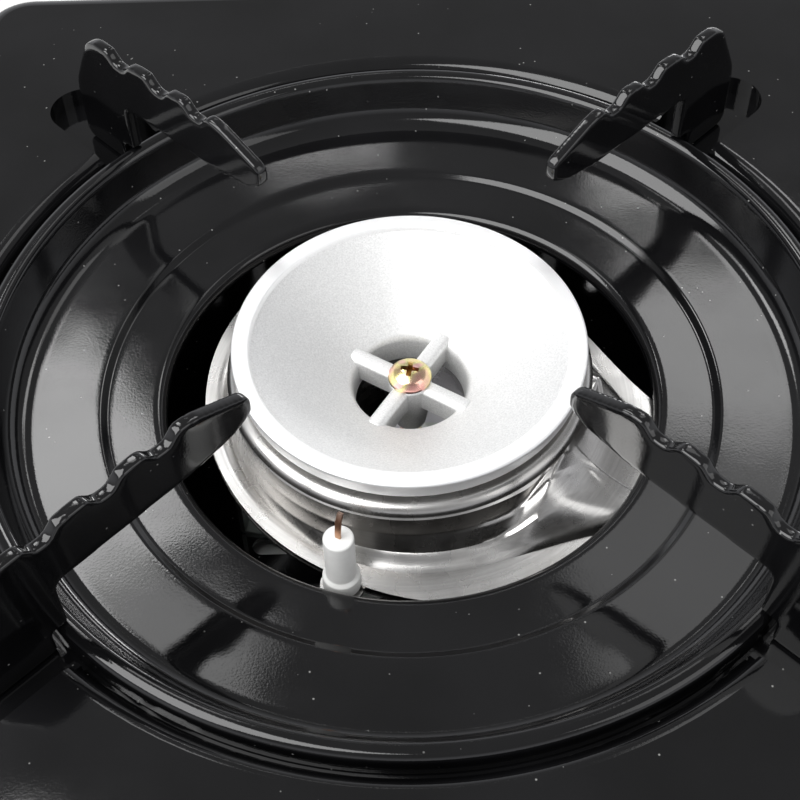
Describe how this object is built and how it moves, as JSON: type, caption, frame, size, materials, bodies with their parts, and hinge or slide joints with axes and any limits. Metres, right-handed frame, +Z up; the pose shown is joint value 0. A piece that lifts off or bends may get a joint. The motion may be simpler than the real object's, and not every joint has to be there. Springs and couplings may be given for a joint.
{
  "type": "butane cassette stove",
  "caption": "Portable butane cassette stove: round burner in a black enamelled drip pan with pan arms, knob, lock lever and a lidded bay for a lying canister.",
  "frame": {"origin": "on the table, under the middle of the whole stove", "axes": "+X along the width, from the burner to the canister bay; -Y to the front with knob and lever; +Z up"},
  "size_m": [0.34, 0.284, 0.1124],
  "materials": {
    "case_enamel": "glossy enamel",
    "pan_enamel": "glossy porcelain enamel",
    "arm_enamel": "glossy porcelain enamel",
    "cast_head": "sandblasted",
    "burner_plate": "drawn steel",
    "iridescent_zinc": "yellow zinc plate",
    "bright_zinc": "zinc plate",
    "galvanised": "galvanised sheet",
    "ceramic_white": "bisque",
    "electrode_wire": "heat tinted",
    "die_cast": "as cast",
    "brass_part": "turned",
    "pipe_metal": "drawn",
    "rubber_black": "matte",
    "lid_enamel": "glossy enamel",
    "panel_plastic": "satin",
    "knob_plastic": "satin",
    "igniter_plastic": "moulded"
  },
  "bodies": {
    "stove": {"top_shell": "case_enamel", "base_plate": "case_enamel", "burner_head": "cast_head", "burner_upper_shell": "burner_plate", "burner_lower_shell": "burner_plate", "burner_screw": "iridescent_zinc", "burner_nut": "iridescent_zinc", "case_screws": "bright_zinc", "stand_screws": "bright_zinc", "regulator_screws": "bright_zinc", "panel_screws": "bright_zinc", "slide_rivets": "bright_zinc", "lid_hinge_pins": "bright_zinc", "lever_pivot_pin": "bright_zinc", "heat_shield": "galvanised", "burner_strap": "galvanised", "burner_stand_left": "galvanised", "burner_stand_back": "galvanised", "burner_stand_front": "galvanised", "regulator_bracket": "galvanised", "nozzle_bracket": "galvanised", "lever_bracket": "galvanised", "canister_cradle": "galvanised", "electrode_ceramic": "ceramic_white", "electrode_pin": "electrode_wire", "regulator_body": "die_cast", "regulator_cap": "die_cast", "gas_nozzle": "brass_part", "gas_pipe": "pipe_metal", "foot_front_left": "rubber_black", "foot_back_left": "rubber_black", "foot_front_right": "rubber_black", "foot_back_right": "rubber_black", "canister_seal": "rubber_black", "spark_lead": "rubber_black", "front_panel": "panel_plastic", "piezo_igniter": "igniter_plastic"},
    "pan": {"drip_pan": "pan_enamel", "pan_arm_back_right": "arm_enamel", "pan_arm_back_left": "arm_enamel", "pan_arm_front_left": "arm_enamel", "pan_arm_front_right": "arm_enamel"},
    "knob": {"control_knob": "knob_plastic", "valve_spindle": "brass_part", "ignition_cam": "igniter_plastic"},
    "plunger": {"igniter_plunger": "igniter_plastic"},
    "lever": {"lock_lever": "galvanised", "lever_grip": "knob_plastic"},
    "slide": {"canister_slide": "galvanised"},
    "lid": {"canister_lid": "lid_enamel"}
  },
  "joints": [
    {"name": "pan_lift", "type": "slide", "parent": "stove", "child": "pan", "axis": [0, 0, 1], "range_m": [0, 0.06]},
    {"name": "knob_turn", "type": "hinge", "parent": "stove", "child": "knob", "pos_m": [0.116, -0.122, 0.0465], "axis": [0, -1, 0], "range_deg": [0, 100]},
    {"name": "plunger_press", "type": "slide", "parent": "stove", "child": "plunger", "axis": [0, 0, -1], "range_m": [0, 0.005]},
    {"name": "lever_turn", "type": "hinge", "parent": "stove", "child": "lever", "pos_m": [0.074, -0.106, 0.03], "axis": [1, 0, 0], "range_deg": [0, 25]},
    {"name": "slide_travel", "type": "slide", "parent": "stove", "child": "slide", "axis": [0, -1, 0], "range_m": [0, 0.00634]},
    {"name": "lid_hinge", "type": "hinge", "parent": "stove", "child": "lid", "pos_m": [0.071, 0.014, 0.0786], "axis": [0, -1, 0], "range_deg": [0, 92]}
  ],
  "couplings": [
    {"joint": "knob_turn", "follows": "plunger_press", "rad_per_m": 349.06},
    {"joint": "lever_turn", "follows": "slide_travel", "rad_per_m": 68.82}
  ]
}
